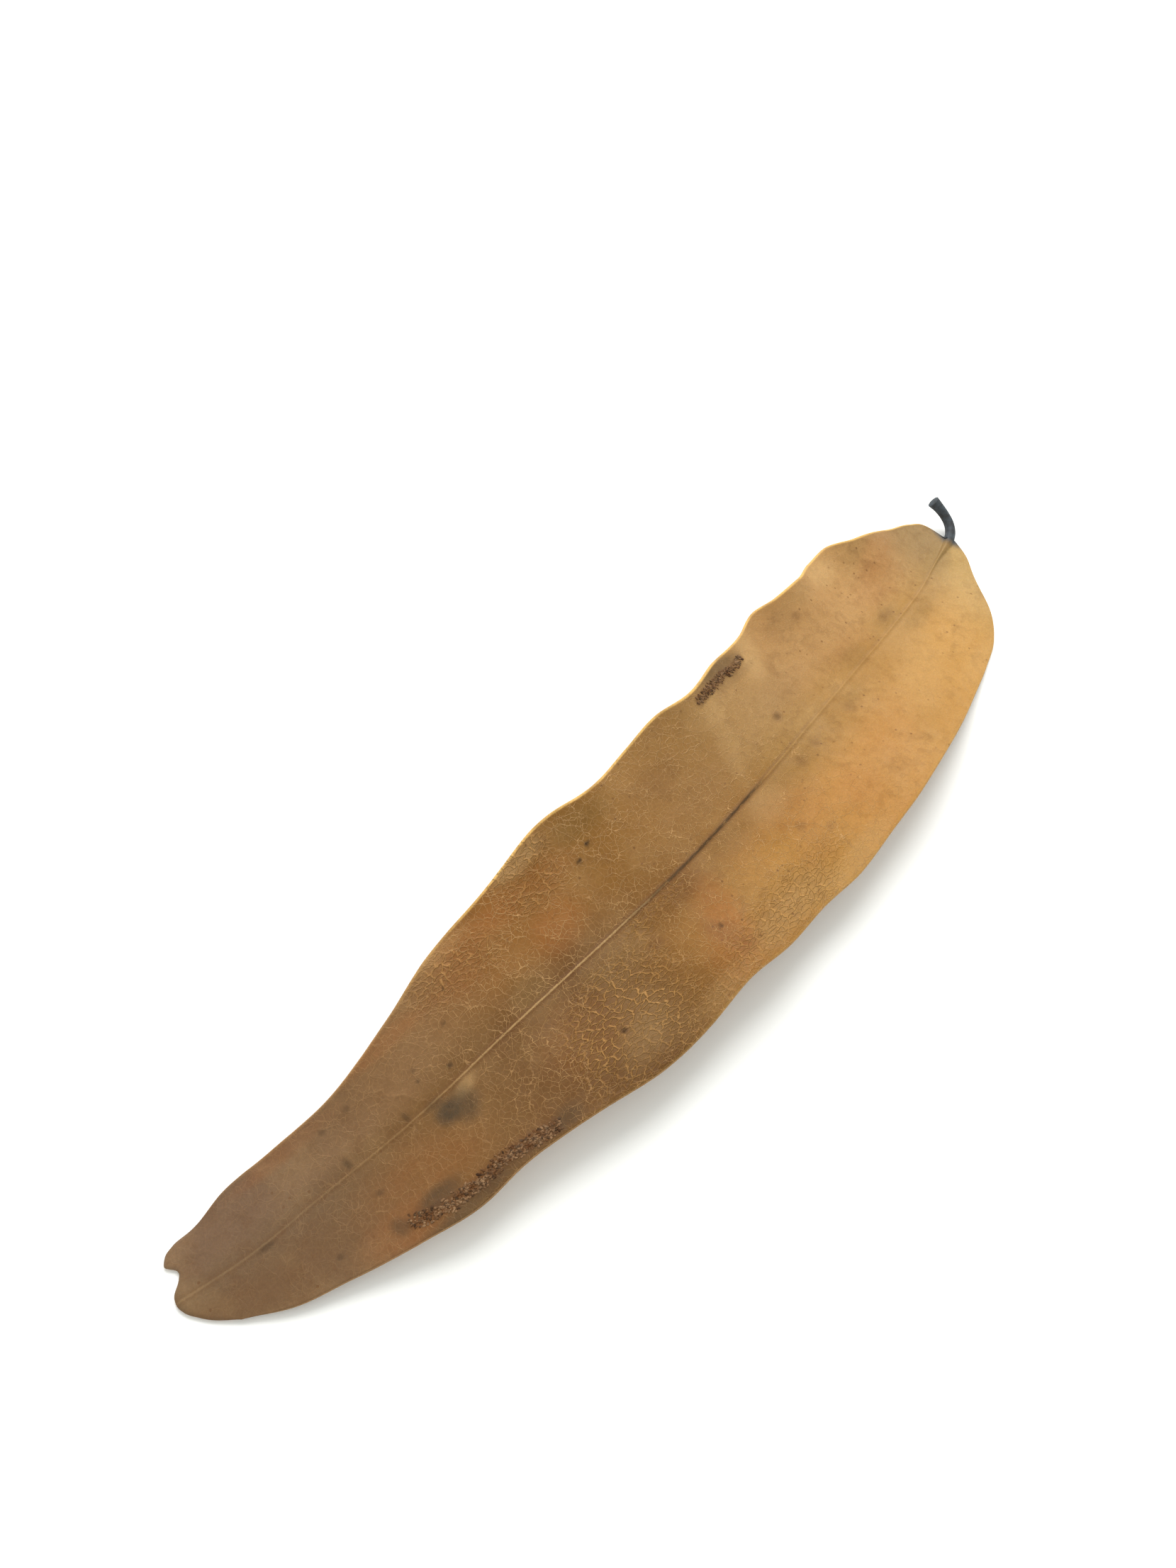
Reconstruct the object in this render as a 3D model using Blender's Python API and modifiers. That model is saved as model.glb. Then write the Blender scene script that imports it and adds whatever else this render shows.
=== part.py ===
"""A dried, narrow leaf lying on a surface: blade, midrib and leaf stalk, grown as one piece.

The blade is an arched, wavy sheet. It stands on its blunt tip, on the margin of its fuller base
lobe and on the underside of the midrib where the stalk begins.
In the tables lengths are in millimetres, +X runs from the stalk to the tip, +Y towards the
fuller margin and +Z up. The finished part stands on Z = 0 under the centre of its own box.
"""

import bmesh
import bpy
import numpy as np
from mathutils import Matrix, Vector

MM = 0.001

BLADE_THICKNESS = 0.32
BLADE_ROWS = 84
BLADE_COLUMNS = 16
ROW_CROWDING = 0.09
FOLD_POWER = 1.6

# Each plan curve: (fraction of the blade's length, x, y), from the stalk to the tip.
MIDRIB_PLAN = (
    (0, 0, 0), (0.04, 4.4, 0.9), (0.085, 9.3, 2.1), (0.15, 16.5, 3.2), (0.23, 25.3, 4.3),
    (0.32, 35.2, 5.4), (0.42, 46.2, 6.5), (0.52, 57.2, 7.0), (0.62, 68.2, 6.7), (0.72, 79.2, 6.0),
    (0.82, 90.2, 5.2), (0.90, 99.0, 3.8), (0.96, 105.6, 2.7), (1, 110.4, 1.2),
)
LEFT_MARGIN = (
    (0, -0.1, -0.6), (0.006, 0.0, -2.2), (0.013, 0.3, -3.3), (0.028, 1.9, -4.3),
    (0.065, 6.5, -5.1), (0.11, 12.1, -5.8), (0.14, 15.2, -7.4), (0.17, 18.7, -7.1),
    (0.21, 23.0, -5.8), (0.245, 27.0, -5.8), (0.27, 29.8, -6.5), (0.30, 33.0, -5.7),
    (0.35, 38.5, -4.8), (0.405, 44.6, -3.4), (0.44, 48.4, -4.2), (0.48, 52.8, -4.1),
    (0.54, 59.4, -3.3), (0.60, 66.0, -4.1), (0.67, 73.7, -3.4), (0.73, 80.3, -2.8),
    (0.78, 85.8, -1.5), (0.85, 93.5, -0.6), (0.90, 98.8, -1.4), (0.95, 103.6, -2.3),
    (1, 108.4, -2.5),
)
RIGHT_MARGIN = (
    (0, -0.4, 0.6), (0.012, 0.7, 2.5), (0.03, 3.0, 5.0), (0.06, 6.6, 9.3), (0.09, 9.9, 11.7),
    (0.125, 13.8, 13.1), (0.17, 18.8, 14.5), (0.22, 24.5, 16.0), (0.28, 31.0, 17.3),
    (0.33, 36.3, 18.1), (0.38, 41.8, 18.5), (0.43, 47.3, 18.9), (0.48, 52.5, 18.5),
    (0.53, 58.3, 18.6), (0.575, 63.0, 18.1), (0.62, 68.2, 18.1), (0.67, 73.7, 17.7),
    (0.73, 80.3, 16.0), (0.79, 86.9, 14.5), (0.83, 91.3, 14.1), (0.88, 96.5, 12.2),
    (0.93, 101.7, 9.9), (0.97, 105.8, 7.9), (1, 108.8, 5.5),
)

# The blunt tip: (place across, from -1 at the left margin to 1 at the right, x, y).
TIP_EDGE = (
    (-1, 108.4, -2.5), (-0.80, 109.7, -2.3), (-0.60, 110.5, -1.6), (-0.35, 111.0, -0.4),
    (0, 111.2, 1.2), (0.25, 111.1, 2.3), (0.50, 110.6, 3.3), (0.75, 109.9, 4.3), (1, 108.8, 5.5),
)
TIP_STARTS_AT = 0.88

# Heights: (fraction of the length, height of the midrib, lift of the left and of the right margin).
HEIGHTS = (
    (0, 0.62, 0.2, 0.0), (0.05, 0.85, 1.8, -0.5), (0.10, 1.4, 4.0, -1.25), (0.16, 2.2, 3.2, -1.2),
    (0.22, 3.1, 4.4, -0.2), (0.30, 4.1, 2.6, 0.4), (0.40, 5.0, 4.2, -0.7), (0.50, 5.3, 2.6, -1.0),
    (0.575, 5.2, 3.9, -0.2), (0.63, 5.0, 2.6, -0.9), (0.70, 4.5, 2.3, -0.3), (0.80, 3.3, 2.2, 0.5),
    (0.92, 1.4, 0.8, 0.1), (1, 0.2, 0.0, 0.0),
)

# Stalk and midrib: (x, y, z, radius), from the cut end of the stalk.
STALK = (
    (-2.1, -3.9, 3.0, 0.72), (-2.35, -3.2, 2.4, 0.62), (-2.4, -2.3, 1.75, 0.56),
    (-2.05, -1.35, 1.2, 0.56), (-1.2, -0.55, 0.85, 0.58),
)
# (fraction of the length, radius, depth of its centre below the blade's)
MIDRIB = (
    (0.004, 0.60, 0.02), (0.03, 0.56, 0.08), (0.08, 0.50, 0.16), (0.20, 0.44, 0.20),
    (0.40, 0.38, 0.20), (0.60, 0.32, 0.18), (0.78, 0.24, 0.14), (0.90, 0.17, 0.10),
)
MIDRIB_STEPS = 26
CORD_SIDES_RESOLUTION = 2

BITE_CENTRE = (110.75, -0.75)
BITE_RADIUS = 1.0
BITE_HEIGHT = 8.0

LEAF_COLOUR = (0.42, 0.215, 0.085, 1.0)
LEAF_ROUGHNESS = 0.5


def clear_scene():
    for obj in list(bpy.data.objects):
        bpy.data.objects.remove(obj, do_unlink=True)


def collection(name):
    made = bpy.data.collections.new(name)
    bpy.context.scene.collection.children.link(made)
    return made


def move_to(obj, target):
    for owner in list(obj.users_collection):
        owner.objects.unlink(obj)
    target.objects.link(obj)


def through(table, at, column=1):
    """A smooth curve through a table's rows: cubic pieces whose slopes follow the neighbouring rows."""
    rows = np.asarray(table, float)
    x, y = rows[:, 0], rows[:, column]
    step = np.diff(x)
    rise = np.diff(y) / step
    inner = (rise[:-1] * step[1:] + rise[1:] * step[:-1]) / (step[1:] + step[:-1])
    slope = np.concatenate([rise[:1], inner, rise[-1:]])
    at = np.clip(at, x[0], x[-1])
    i = np.clip(np.searchsorted(x, at, side="right") - 1, 0, len(step) - 1)
    u = (at - x[i]) / step[i]
    return (
        (1 + 2 * u) * (1 - u) ** 2 * y[i]
        + u * (1 - u) ** 2 * step[i] * slope[i]
        + u * u * (3 - 2 * u) * y[i + 1]
        + u * u * (u - 1) * step[i] * slope[i + 1]
    )


def plan(table, at):
    return np.stack([through(table, at, 1), through(table, at, 2)], axis=-1)


def straight_row(along, across):
    """Two straight lines, from the midrib to either margin, seen from above."""
    midrib = plan(MIDRIB_PLAN, along)
    on_left = (across < 0)[..., None]
    margin = np.where(on_left, plan(LEFT_MARGIN, along), plan(RIGHT_MARGIN, along))
    return midrib + (margin - midrib) * np.abs(across)[..., None]


def blade_point(along, across):
    """The blade's middle surface, in mm. along runs from 0 at the stalk to 1 at the tip, across from -1 to 1."""
    along = np.asarray(along, float)
    across = np.asarray(across, float)
    swell = plan(TIP_EDGE, across) - straight_row(np.ones_like(along), across)
    near_tip = np.clip((along - TIP_STARTS_AT) / (1 - TIP_STARTS_AT), 0, 1)[..., None]
    flat = straight_row(along, across) + swell * near_tip**2
    lift = np.where(across < 0, through(HEIGHTS, along, 2), through(HEIGHTS, along, 3))
    height = through(HEIGHTS, along, 1) + lift * np.abs(across) ** FOLD_POWER
    return np.concatenate([flat, height[..., None]], axis=-1)


def make_blade():
    """A grid whose points are moved onto the blade, then given its thickness."""
    bpy.ops.mesh.primitive_grid_add(x_subdivisions=BLADE_ROWS, y_subdivisions=BLADE_COLUMNS, size=2)
    blade = bpy.context.object
    blade.name = "leaf"
    for vertex in blade.data.vertices:
        t = (vertex.co.x + 1) / 2
        along = t - ROW_CROWDING * np.sin(2 * np.pi * t)
        vertex.co = Vector(blade_point(along, vertex.co.y)) * MM
    thickness = blade.modifiers.new("thickness", "SOLIDIFY")
    thickness.thickness = BLADE_THICKNESS * MM
    thickness.offset = 0
    return blade


def rib_points():
    """(x, y, z, radius) along the stalk and then under the blade, in mm."""
    for point in STALK:
        yield point
    first, last = MIDRIB[0][0], MIDRIB[-1][0]
    for along in np.linspace(first, last, MIDRIB_STEPS):
        x, y, z = blade_point(along, 0.0)
        yield x, y, z - through(MIDRIB, along, 2), through(MIDRIB, along, 1)


def make_rib(target):
    """Stalk and midrib: one tapered, round cord, made a mesh so that it can be joined."""
    curve = bpy.data.curves.new("rib", "CURVE")
    curve.dimensions = "3D"
    curve.bevel_depth = MM
    curve.bevel_resolution = CORD_SIDES_RESOLUTION
    curve.use_fill_caps = True
    spline = curve.splines.new("POLY")
    points = list(rib_points())
    spline.points.add(len(points) - 1)
    for point, (x, y, z, radius) in zip(spline.points, points):
        point.co = (x * MM, y * MM, z * MM, 1)
        point.radius = radius
    cord = bpy.data.objects.new("rib_cord", curve)
    target.objects.link(cord)
    bpy.context.view_layer.update()
    graph = bpy.context.evaluated_depsgraph_get()
    mesh = bpy.data.meshes.new_from_object(cord.evaluated_get(graph))
    bpy.data.objects.remove(cord, do_unlink=True)
    weld_caps(mesh)
    rib = bpy.data.objects.new("rib", mesh)
    target.objects.link(rib)
    return rib


def weld_caps(mesh):
    work = bmesh.new()
    work.from_mesh(mesh)
    bmesh.ops.remove_doubles(work, verts=work.verts, dist=1e-6)
    bmesh.ops.recalc_face_normals(work, faces=work.faces)
    work.to_mesh(mesh)
    work.free()


def make_bite(target):
    """The round bite that an insect took out of the tip."""
    bpy.ops.mesh.primitive_cylinder_add(
        vertices=24,
        radius=BITE_RADIUS * MM,
        depth=BITE_HEIGHT * MM,
        location=(BITE_CENTRE[0] * MM, BITE_CENTRE[1] * MM, 0),
    )
    bite = bpy.context.object
    bite.name = "tip_bite"
    move_to(bite, target)
    return bite


def add_boolean(obj, name, operation, other):
    boolean = obj.modifiers.new(name, "BOOLEAN")
    boolean.operation = operation
    boolean.solver = "EXACT"
    boolean.object = other
    other.hide_render = True
    other.display_type = "WIRE"


def leaf_material():
    material = bpy.data.materials.new("dried_leaf")
    material.use_nodes = True
    shader = material.node_tree.nodes["Principled BSDF"]
    shader.inputs["Base Color"].default_value = LEAF_COLOUR
    shader.inputs["Roughness"].default_value = LEAF_ROUGHNESS
    shader.inputs["Metallic"].default_value = 0.0
    return material


def stand_on_origin(obj):
    """Makes the modifiers' result the mesh, and puts the foot of its box's centre at the origin."""
    bpy.context.view_layer.update()
    graph = bpy.context.evaluated_depsgraph_get()
    mesh = bpy.data.meshes.new_from_object(obj.evaluated_get(graph))
    obj.modifiers.clear()
    obj.data = mesh
    corners = np.array([vertex.co for vertex in mesh.vertices])
    low, high = corners.min(axis=0), corners.max(axis=0)
    middle = (low + high) / 2
    mesh.transform(Matrix.Translation((-middle[0], -middle[1], -low[2])))


def main():
    clear_scene()
    parts = collection("dried_leaf")
    cutters = collection("cutters")
    leaf = make_blade()
    move_to(leaf, parts)
    add_boolean(leaf, "bite", "DIFFERENCE", make_bite(cutters))
    add_boolean(leaf, "rib", "UNION", make_rib(cutters))
    stand_on_origin(leaf)
    leaf.data.materials.clear()
    leaf.data.materials.append(leaf_material())
    leaf.data.shade_smooth()
    leaf.data.set_sharp_from_angle(angle=np.radians(40))


main()
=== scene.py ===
"""A narrow dried leaf: one closed skin with its veins and marks, the crumbs on it, a table and soft light.

The leaf is laid out in its own coordinates: along, from 0 at the stalk to 1 at the tip, and across, from -1
at the left margin over the midrib to 1 at the right margin. Lengths in the tables are in millimetres.
"""

import bpy
import numpy as np
from bpy.props import FloatProperty, FloatVectorProperty, IntProperty, PointerProperty
from mathutils import Matrix, Vector


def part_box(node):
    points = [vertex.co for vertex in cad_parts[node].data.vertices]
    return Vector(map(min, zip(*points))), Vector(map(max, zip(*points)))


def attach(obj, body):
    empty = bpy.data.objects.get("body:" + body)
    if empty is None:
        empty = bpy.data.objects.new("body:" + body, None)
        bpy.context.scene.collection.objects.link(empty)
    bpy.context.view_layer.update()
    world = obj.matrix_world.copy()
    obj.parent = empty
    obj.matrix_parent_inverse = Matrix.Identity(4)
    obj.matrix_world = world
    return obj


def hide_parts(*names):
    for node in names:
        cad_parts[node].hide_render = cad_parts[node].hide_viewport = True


bl_info = {
    "name": "Dried Leaf",
    "version": (1, 0, 0),
    "blender": (4, 5, 0),
    "location": "View3D > Sidebar > Dried Leaf",
    "description": "A narrow dried leaf with its veins, crusts and marks",
    "category": "Add Mesh",
}

MM = 0.001
NODE = "leaf"
BODY = "root"
MAP = "leaf_map"

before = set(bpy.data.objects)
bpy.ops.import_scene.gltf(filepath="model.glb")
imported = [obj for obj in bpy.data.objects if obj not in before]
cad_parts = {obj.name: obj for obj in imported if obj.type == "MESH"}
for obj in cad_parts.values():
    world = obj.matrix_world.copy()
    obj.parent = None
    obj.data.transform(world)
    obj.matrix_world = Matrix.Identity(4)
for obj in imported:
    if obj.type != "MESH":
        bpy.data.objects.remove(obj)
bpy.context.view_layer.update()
leaf_low, leaf_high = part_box(NODE)

# ---------------------------------------------------------------------------------------------------
# The leaf's form
# ---------------------------------------------------------------------------------------------------

# Length in mm, how sharply the halves bend up from the midrib, and where the tip's own outline sets in.
BLADE_LENGTH = 110.0
FOLD_POWER = 1.6
TIP_STARTS_AT = 0.88
# Shares of the blade's length over which the base changes from round stalk to thin leaf.
STALK_FADES_OVER, RIM_FADES_OVER, BEAD_FADES_OVER, RIB_FADES_OVER = 0.012, 0.025, 0.03, 0.04
# The rounded end of the tip: its share of the length, and how thin it gets.
TIP_ROUNDING, TIP_THINNEST = 0.0011, 0.12
# Points stand closer together near the midrib, and along the blade near both ends.
CROWDING_ACROSS, CROWDING_ALONG = 1.3, 0.02

# Each plan curve: (along, x, y).
MIDRIB_PLAN = (
    (0, 0, 0), (0.04, 4.4, 0.9), (0.085, 9.3, 2.1), (0.15, 16.5, 3.2), (0.23, 25.3, 4.3),
    (0.32, 35.2, 5.4), (0.42, 46.2, 6.5), (0.52, 57.2, 7.0), (0.62, 68.2, 6.7), (0.72, 79.2, 6.0),
    (0.82, 90.2, 5.2), (0.90, 99.0, 3.8), (0.96, 105.6, 2.7), (1, 110.4, 1.2),
)
LEFT_MARGIN = (
    (0, -0.1, -0.6), (0.006, 0.0, -2.2), (0.013, 0.3, -3.3), (0.028, 1.9, -4.3),
    (0.065, 6.5, -5.1), (0.11, 12.1, -5.8), (0.14, 15.2, -7.4), (0.17, 18.7, -7.1),
    (0.21, 23.0, -5.8), (0.245, 27.0, -5.8), (0.27, 29.8, -6.5), (0.30, 33.0, -5.7),
    (0.35, 38.5, -4.8), (0.405, 44.6, -3.4), (0.44, 48.4, -4.2), (0.48, 52.8, -4.1),
    (0.54, 59.4, -3.3), (0.60, 66.0, -4.1), (0.67, 73.7, -3.4), (0.73, 80.3, -2.8),
    (0.78, 85.8, -1.5), (0.85, 93.5, -0.6), (0.90, 98.8, -1.4), (0.95, 103.6, -2.3),
    (0.985, 106.9, -2.1), (1, 107.9, -2.35),
)
RIGHT_MARGIN = (
    (0, -0.4, 0.6), (0.012, 0.7, 2.5), (0.03, 3.0, 5.0), (0.06, 6.6, 9.3), (0.09, 9.9, 11.7),
    (0.125, 13.8, 13.1), (0.17, 18.8, 14.5), (0.22, 24.5, 16.0), (0.28, 31.0, 17.3),
    (0.33, 36.3, 18.1), (0.38, 41.8, 18.5), (0.43, 47.3, 18.9), (0.48, 52.5, 18.5),
    (0.53, 58.3, 18.6), (0.575, 63.0, 18.1), (0.62, 68.2, 18.1), (0.67, 73.7, 17.7),
    (0.73, 80.3, 16.0), (0.79, 86.9, 14.5), (0.83, 91.3, 14.1), (0.88, 96.5, 12.2),
    (0.93, 101.7, 9.9), (0.97, 105.8, 7.9), (1, 108.8, 5.5),
)
# The blunt tip with the bite out of it: (across, x, y).
TIP_EDGE = (
    (-1, 107.9, -2.35), (-0.85, 108.9, -2.5), (-0.72, 109.6, -2.3), (-0.62, 110.1, -1.75),
    (-0.53, 109.95, -1.35), (-0.42, 109.65, -0.85), (-0.32, 109.7, -0.4), (-0.24, 110.1, 0.0),
    (-0.14, 110.85, 0.5), (-0.02, 111.2, 1.1), (0.2, 111.2, 2.1), (0.45, 110.7, 3.2),
    (0.75, 109.9, 4.4), (1, 108.8, 5.5),
)
# (along, height of the midrib, lift of the left margin, lift of the right margin)
HEIGHTS = (
    (0, 0.62, 0.2, 0.0), (0.05, 0.85, 1.8, -0.5), (0.10, 1.4, 4.0, -1.25), (0.16, 2.2, 3.2, -1.2),
    (0.22, 3.1, 4.4, -0.2), (0.30, 4.1, 2.6, 0.4), (0.40, 5.0, 4.2, -0.7), (0.50, 5.3, 2.6, -1.0),
    (0.575, 5.2, 3.9, -0.2), (0.63, 5.0, 2.6, -0.9), (0.70, 4.5, 2.3, -0.3), (0.80, 3.3, 2.2, 0.5),
    (0.92, 1.4, 0.8, 0.1), (1, 0.2, 0.0, 0.0),
)
# (x, y, z, radius), from the cut end of the stalk to where the blade begins
STALK = (
    (-2.1, -3.9, 3.0, 0.70), (-2.35, -3.2, 2.4, 0.60), (-2.4, -2.3, 1.75, 0.55),
    (-2.05, -1.35, 1.2, 0.56), (-1.2, -0.55, 0.85, 0.58), (0, 0, 0.62, 0.60),
)
# (along, radius of the midrib above the blade's middle, radius below it)
RIB = (
    (0, 0.61, 0.61), (0.012, 0.52, 0.60), (0.03, 0.34, 0.58), (0.06, 0.22, 0.54), (0.15, 0.18, 0.50),
    (0.40, 0.15, 0.44), (0.60, 0.17, 0.36), (0.80, 0.14, 0.27), (0.92, 0.11, 0.18), (1, 0.10, 0.14),
)
# Width of the midrib's soft ridge, in radii, and how sharp the corner is where it meets the sheet.
RIB_SOFTNESS = 0.8
JOIN_POWER = 5
# How far the thicker margin reaches in, in mm.
BEAD_REACH = 0.28
# The furrow beside the midrib: its depth, distance and width in mm, and where it runs along the leaf.
FURROW_DEPTH, FURROW_AT, FURROW_WIDTH = 0.03, 0.36, 0.22
FURROW_FROM, FURROW_TO, FURROW_FADE = 0.02, 0.97, 0.1
# The stalk's share that is upper or lower side, the rest being rim, and the angles of the rim's points.
RIM_SHARE = 0.97
RIM_ANGLES = (50, 0, -50)
# The blade's rim: its radius in mm where the blade begins, and as a share of half the thickness further out.
RIM_START, RIM_FULLNESS = 0.02, 1.05
# Rings of the stalk's cut end, as shares of its radius, and how far the end bulges in mm.
CAP_SHARES = np.array([0.05, 0.35, 0.65, 0.86, 0.97])
CAP_BULGE = 0.12
# The way the stalk runs into the blade, and the share of the stalk over which it turns to the blade's slope.
STALK_HEADING = (2.0, 0.7, -0.2)
STALK_TURN = 0.3

# Patches of crusty tissue: lines of (along, across), each with its half width in mm.
CRUSTS = (
    (((0.757, 0.91), (0.775, 0.885), (0.80, 0.845), (0.82, 0.85), (0.845, 0.83), (0.868, 0.80)), 0.62),
    (((0.322, -0.88), (0.338, -0.86), (0.355, -0.885), (0.38, -0.90), (0.400, -0.91)), 0.42),
)


def through(table, at, column=1):
    """A smooth curve through a table's rows: cubic pieces whose slopes follow the neighbouring rows."""
    rows = np.asarray(table, float)
    x, y = rows[:, 0], rows[:, column]
    step = np.diff(x)
    rise = np.diff(y) / step
    inner = (rise[:-1] * step[1:] + rise[1:] * step[:-1]) / (step[1:] + step[:-1])
    slope = np.concatenate([rise[:1], inner, rise[-1:]])
    at = np.clip(at, x[0], x[-1])
    i = np.clip(np.searchsorted(x, at, side="right") - 1, 0, len(step) - 1)
    u = (at - x[i]) / step[i]
    return (
        (1 + 2 * u) * (1 - u) ** 2 * y[i]
        + u * (1 - u) ** 2 * step[i] * slope[i]
        + u * u * (3 - 2 * u) * y[i + 1]
        + u * u * (u - 1) * step[i] * slope[i + 1]
    )


def plan(table, at):
    return np.stack([through(table, at, 1), through(table, at, 2)], axis=-1)


def ease(x):
    x = np.clip(x, 0, 1)
    return x * x * (3 - 2 * x)


def straight_row(along, across):
    """Two straight lines, from the midrib to either margin, seen from above."""
    midrib = plan(MIDRIB_PLAN, along)
    on_left = (across < 0)[..., None]
    margin = np.where(on_left, plan(LEFT_MARGIN, along), plan(RIGHT_MARGIN, along))
    return midrib + (margin - midrib) * np.abs(across)[..., None]


def blade_point(along, across):
    """The blade's middle surface, in mm."""
    swell = plan(TIP_EDGE, across) - straight_row(np.ones_like(along), across)
    near_tip = np.clip((along - TIP_STARTS_AT) / (1 - TIP_STARTS_AT), 0, 1)[..., None]
    flat = straight_row(along, across) + swell * near_tip**3
    lift = np.where(across < 0, through(HEIGHTS, along, 2), through(HEIGHTS, along, 3))
    height = through(HEIGHTS, along, 1) + lift * np.abs(across) ** FOLD_POWER
    return np.concatenate([flat, height[..., None]], axis=-1)


def unit(v):
    return v / np.linalg.norm(v, axis=-1, keepdims=True)


def half_widths(along):
    """Distance from the midrib to the left and to the right margin, in mm."""
    rib = plan(MIDRIB_PLAN, along)
    left = np.linalg.norm(plan(LEFT_MARGIN, along) - rib, axis=-1)
    right = np.linalg.norm(plan(RIGHT_MARGIN, along) - rib, axis=-1)
    return left, right


def rib_height(distance, radius, along):
    """The midrib's section: round at the stalk, a soft ridge further out."""
    round_part = np.sqrt(np.clip(radius**2 - distance**2, 0, None))
    soft_part = radius * np.exp(-((distance / (RIB_SOFTNESS * radius)) ** 2))
    share = ease(along / RIB_FADES_OVER)
    return round_part * (1 - share) + soft_part * share


def skin_heights(shape, along, distance, inset):
    """How far the skin lies above and below the blade's middle surface, in mm."""
    bead = np.exp(-((inset / BEAD_REACH) ** 2)) * ease(along / BEAD_FADES_OVER)
    sheet = (shape.thickness / 2 + shape.margin_bead * bead) / MM
    over, under = (
        (sheet**JOIN_POWER + rib_height(distance, through(RIB, along, column), along) ** JOIN_POWER)
        ** (1 / JOIN_POWER)
        for column in (1, 2)
    )
    furrow = FURROW_DEPTH * np.exp(-(((distance - FURROW_AT) / FURROW_WIDTH) ** 2))
    furrow = furrow * ease((along - FURROW_FROM) / FURROW_FADE) * ease((FURROW_TO - along) / FURROW_FADE)
    into_tip = ((along - 1 + TIP_ROUNDING) / TIP_ROUNDING).clip(0, 1)
    end = np.sqrt(np.clip(1 - into_tip**2, TIP_THINNEST, 1))
    return (over - furrow) * end, under * end


def blade_part(shape, along, across):
    """The blade's rings, from the stalk to the tip: where they lie and what each of their points knows."""
    all_along, all_across = np.meshgrid(along, across, indexing="ij")
    middle = blade_point(all_along, all_across)
    down_row = unit(np.gradient(middle, axis=0))
    over_row = unit(np.gradient(middle, axis=1))
    left, right = half_widths(along)
    width = np.where(all_across < 0, left[:, None], right[:, None])
    distance = np.abs(all_across) * width
    over, under = skin_heights(shape, all_along, distance, (1 - np.abs(all_across)) * width)
    full_rim = RIM_FULLNESS * shape.thickness / MM / 2
    return {
        "middle": middle, "normal": unit(np.cross(down_row, over_row)), "out": over_row,
        "over": over, "under": under,
        "rim": RIM_START + (full_rim - RIM_START) * ease(along / RIM_FADES_OVER),
        "place": all_along * BLADE_LENGTH, "signed": distance * np.sign(all_across),
        "along": along, "stalk": 1 - ease(along / STALK_FADES_OVER),
    }


def stalk_part(shape, across, blade_out):
    """The same for the stalk, from its cut end to the blade, whose sideways direction there is blade_out."""
    knots = np.array(STALK)
    reach = np.concatenate([[0], np.cumsum(np.linalg.norm(np.diff(knots[:, :3], axis=0), axis=1))])
    table = np.column_stack([reach / reach[-1], knots])
    at = np.linspace(0, 1, shape.stalk_rows + 1)
    centre = np.stack([through(table, at, c) for c in (1, 2, 3)], axis=-1)
    radius = through(table, at, 4)
    heading = unit(np.gradient(centre, axis=0))
    heading[-1] = unit(np.array(STALK_HEADING))
    turn = ease((at - 1 + STALK_TURN) / STALK_TURN)[:, None]
    side = unit(np.cross(np.array([0, 0, 1.0]), heading))
    side = unit(side * (1 - turn) + blade_out * turn)
    lift = unit(np.cross(heading, side))

    bulge = heading[:1] * CAP_BULGE * (1 - CAP_SHARES[:, None] ** 2)
    centre = np.concatenate([centre[:1] - bulge, centre[:-1]])
    radius = np.concatenate([radius[0] * CAP_SHARES, radius[:-1]])
    at = np.concatenate([np.zeros(len(CAP_SHARES)), at[:-1]])
    side, lift = (
        np.concatenate([np.repeat(arrows[:1], len(CAP_SHARES), 0), arrows[:-1]])[:, None]
        for arrows in (side, lift)
    )
    lateral = RIM_SHARE * radius[:, None] * across[None]
    height = np.sqrt(np.clip(radius[:, None] ** 2 - lateral**2, 0, None))
    rows, columns = lateral.shape
    return {
        "middle": centre[:, None] + side * lateral[..., None],
        "normal": np.repeat(lift, columns, 1), "out": np.repeat(side, columns, 1),
        "over": height, "under": height,
        "rim": (1 - RIM_SHARE) * radius,
        "place": np.repeat((reach[-1] * (at - 1))[:, None], columns, 1), "signed": lateral,
        "along": np.zeros(rows), "stalk": np.ones(rows),
    }


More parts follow.
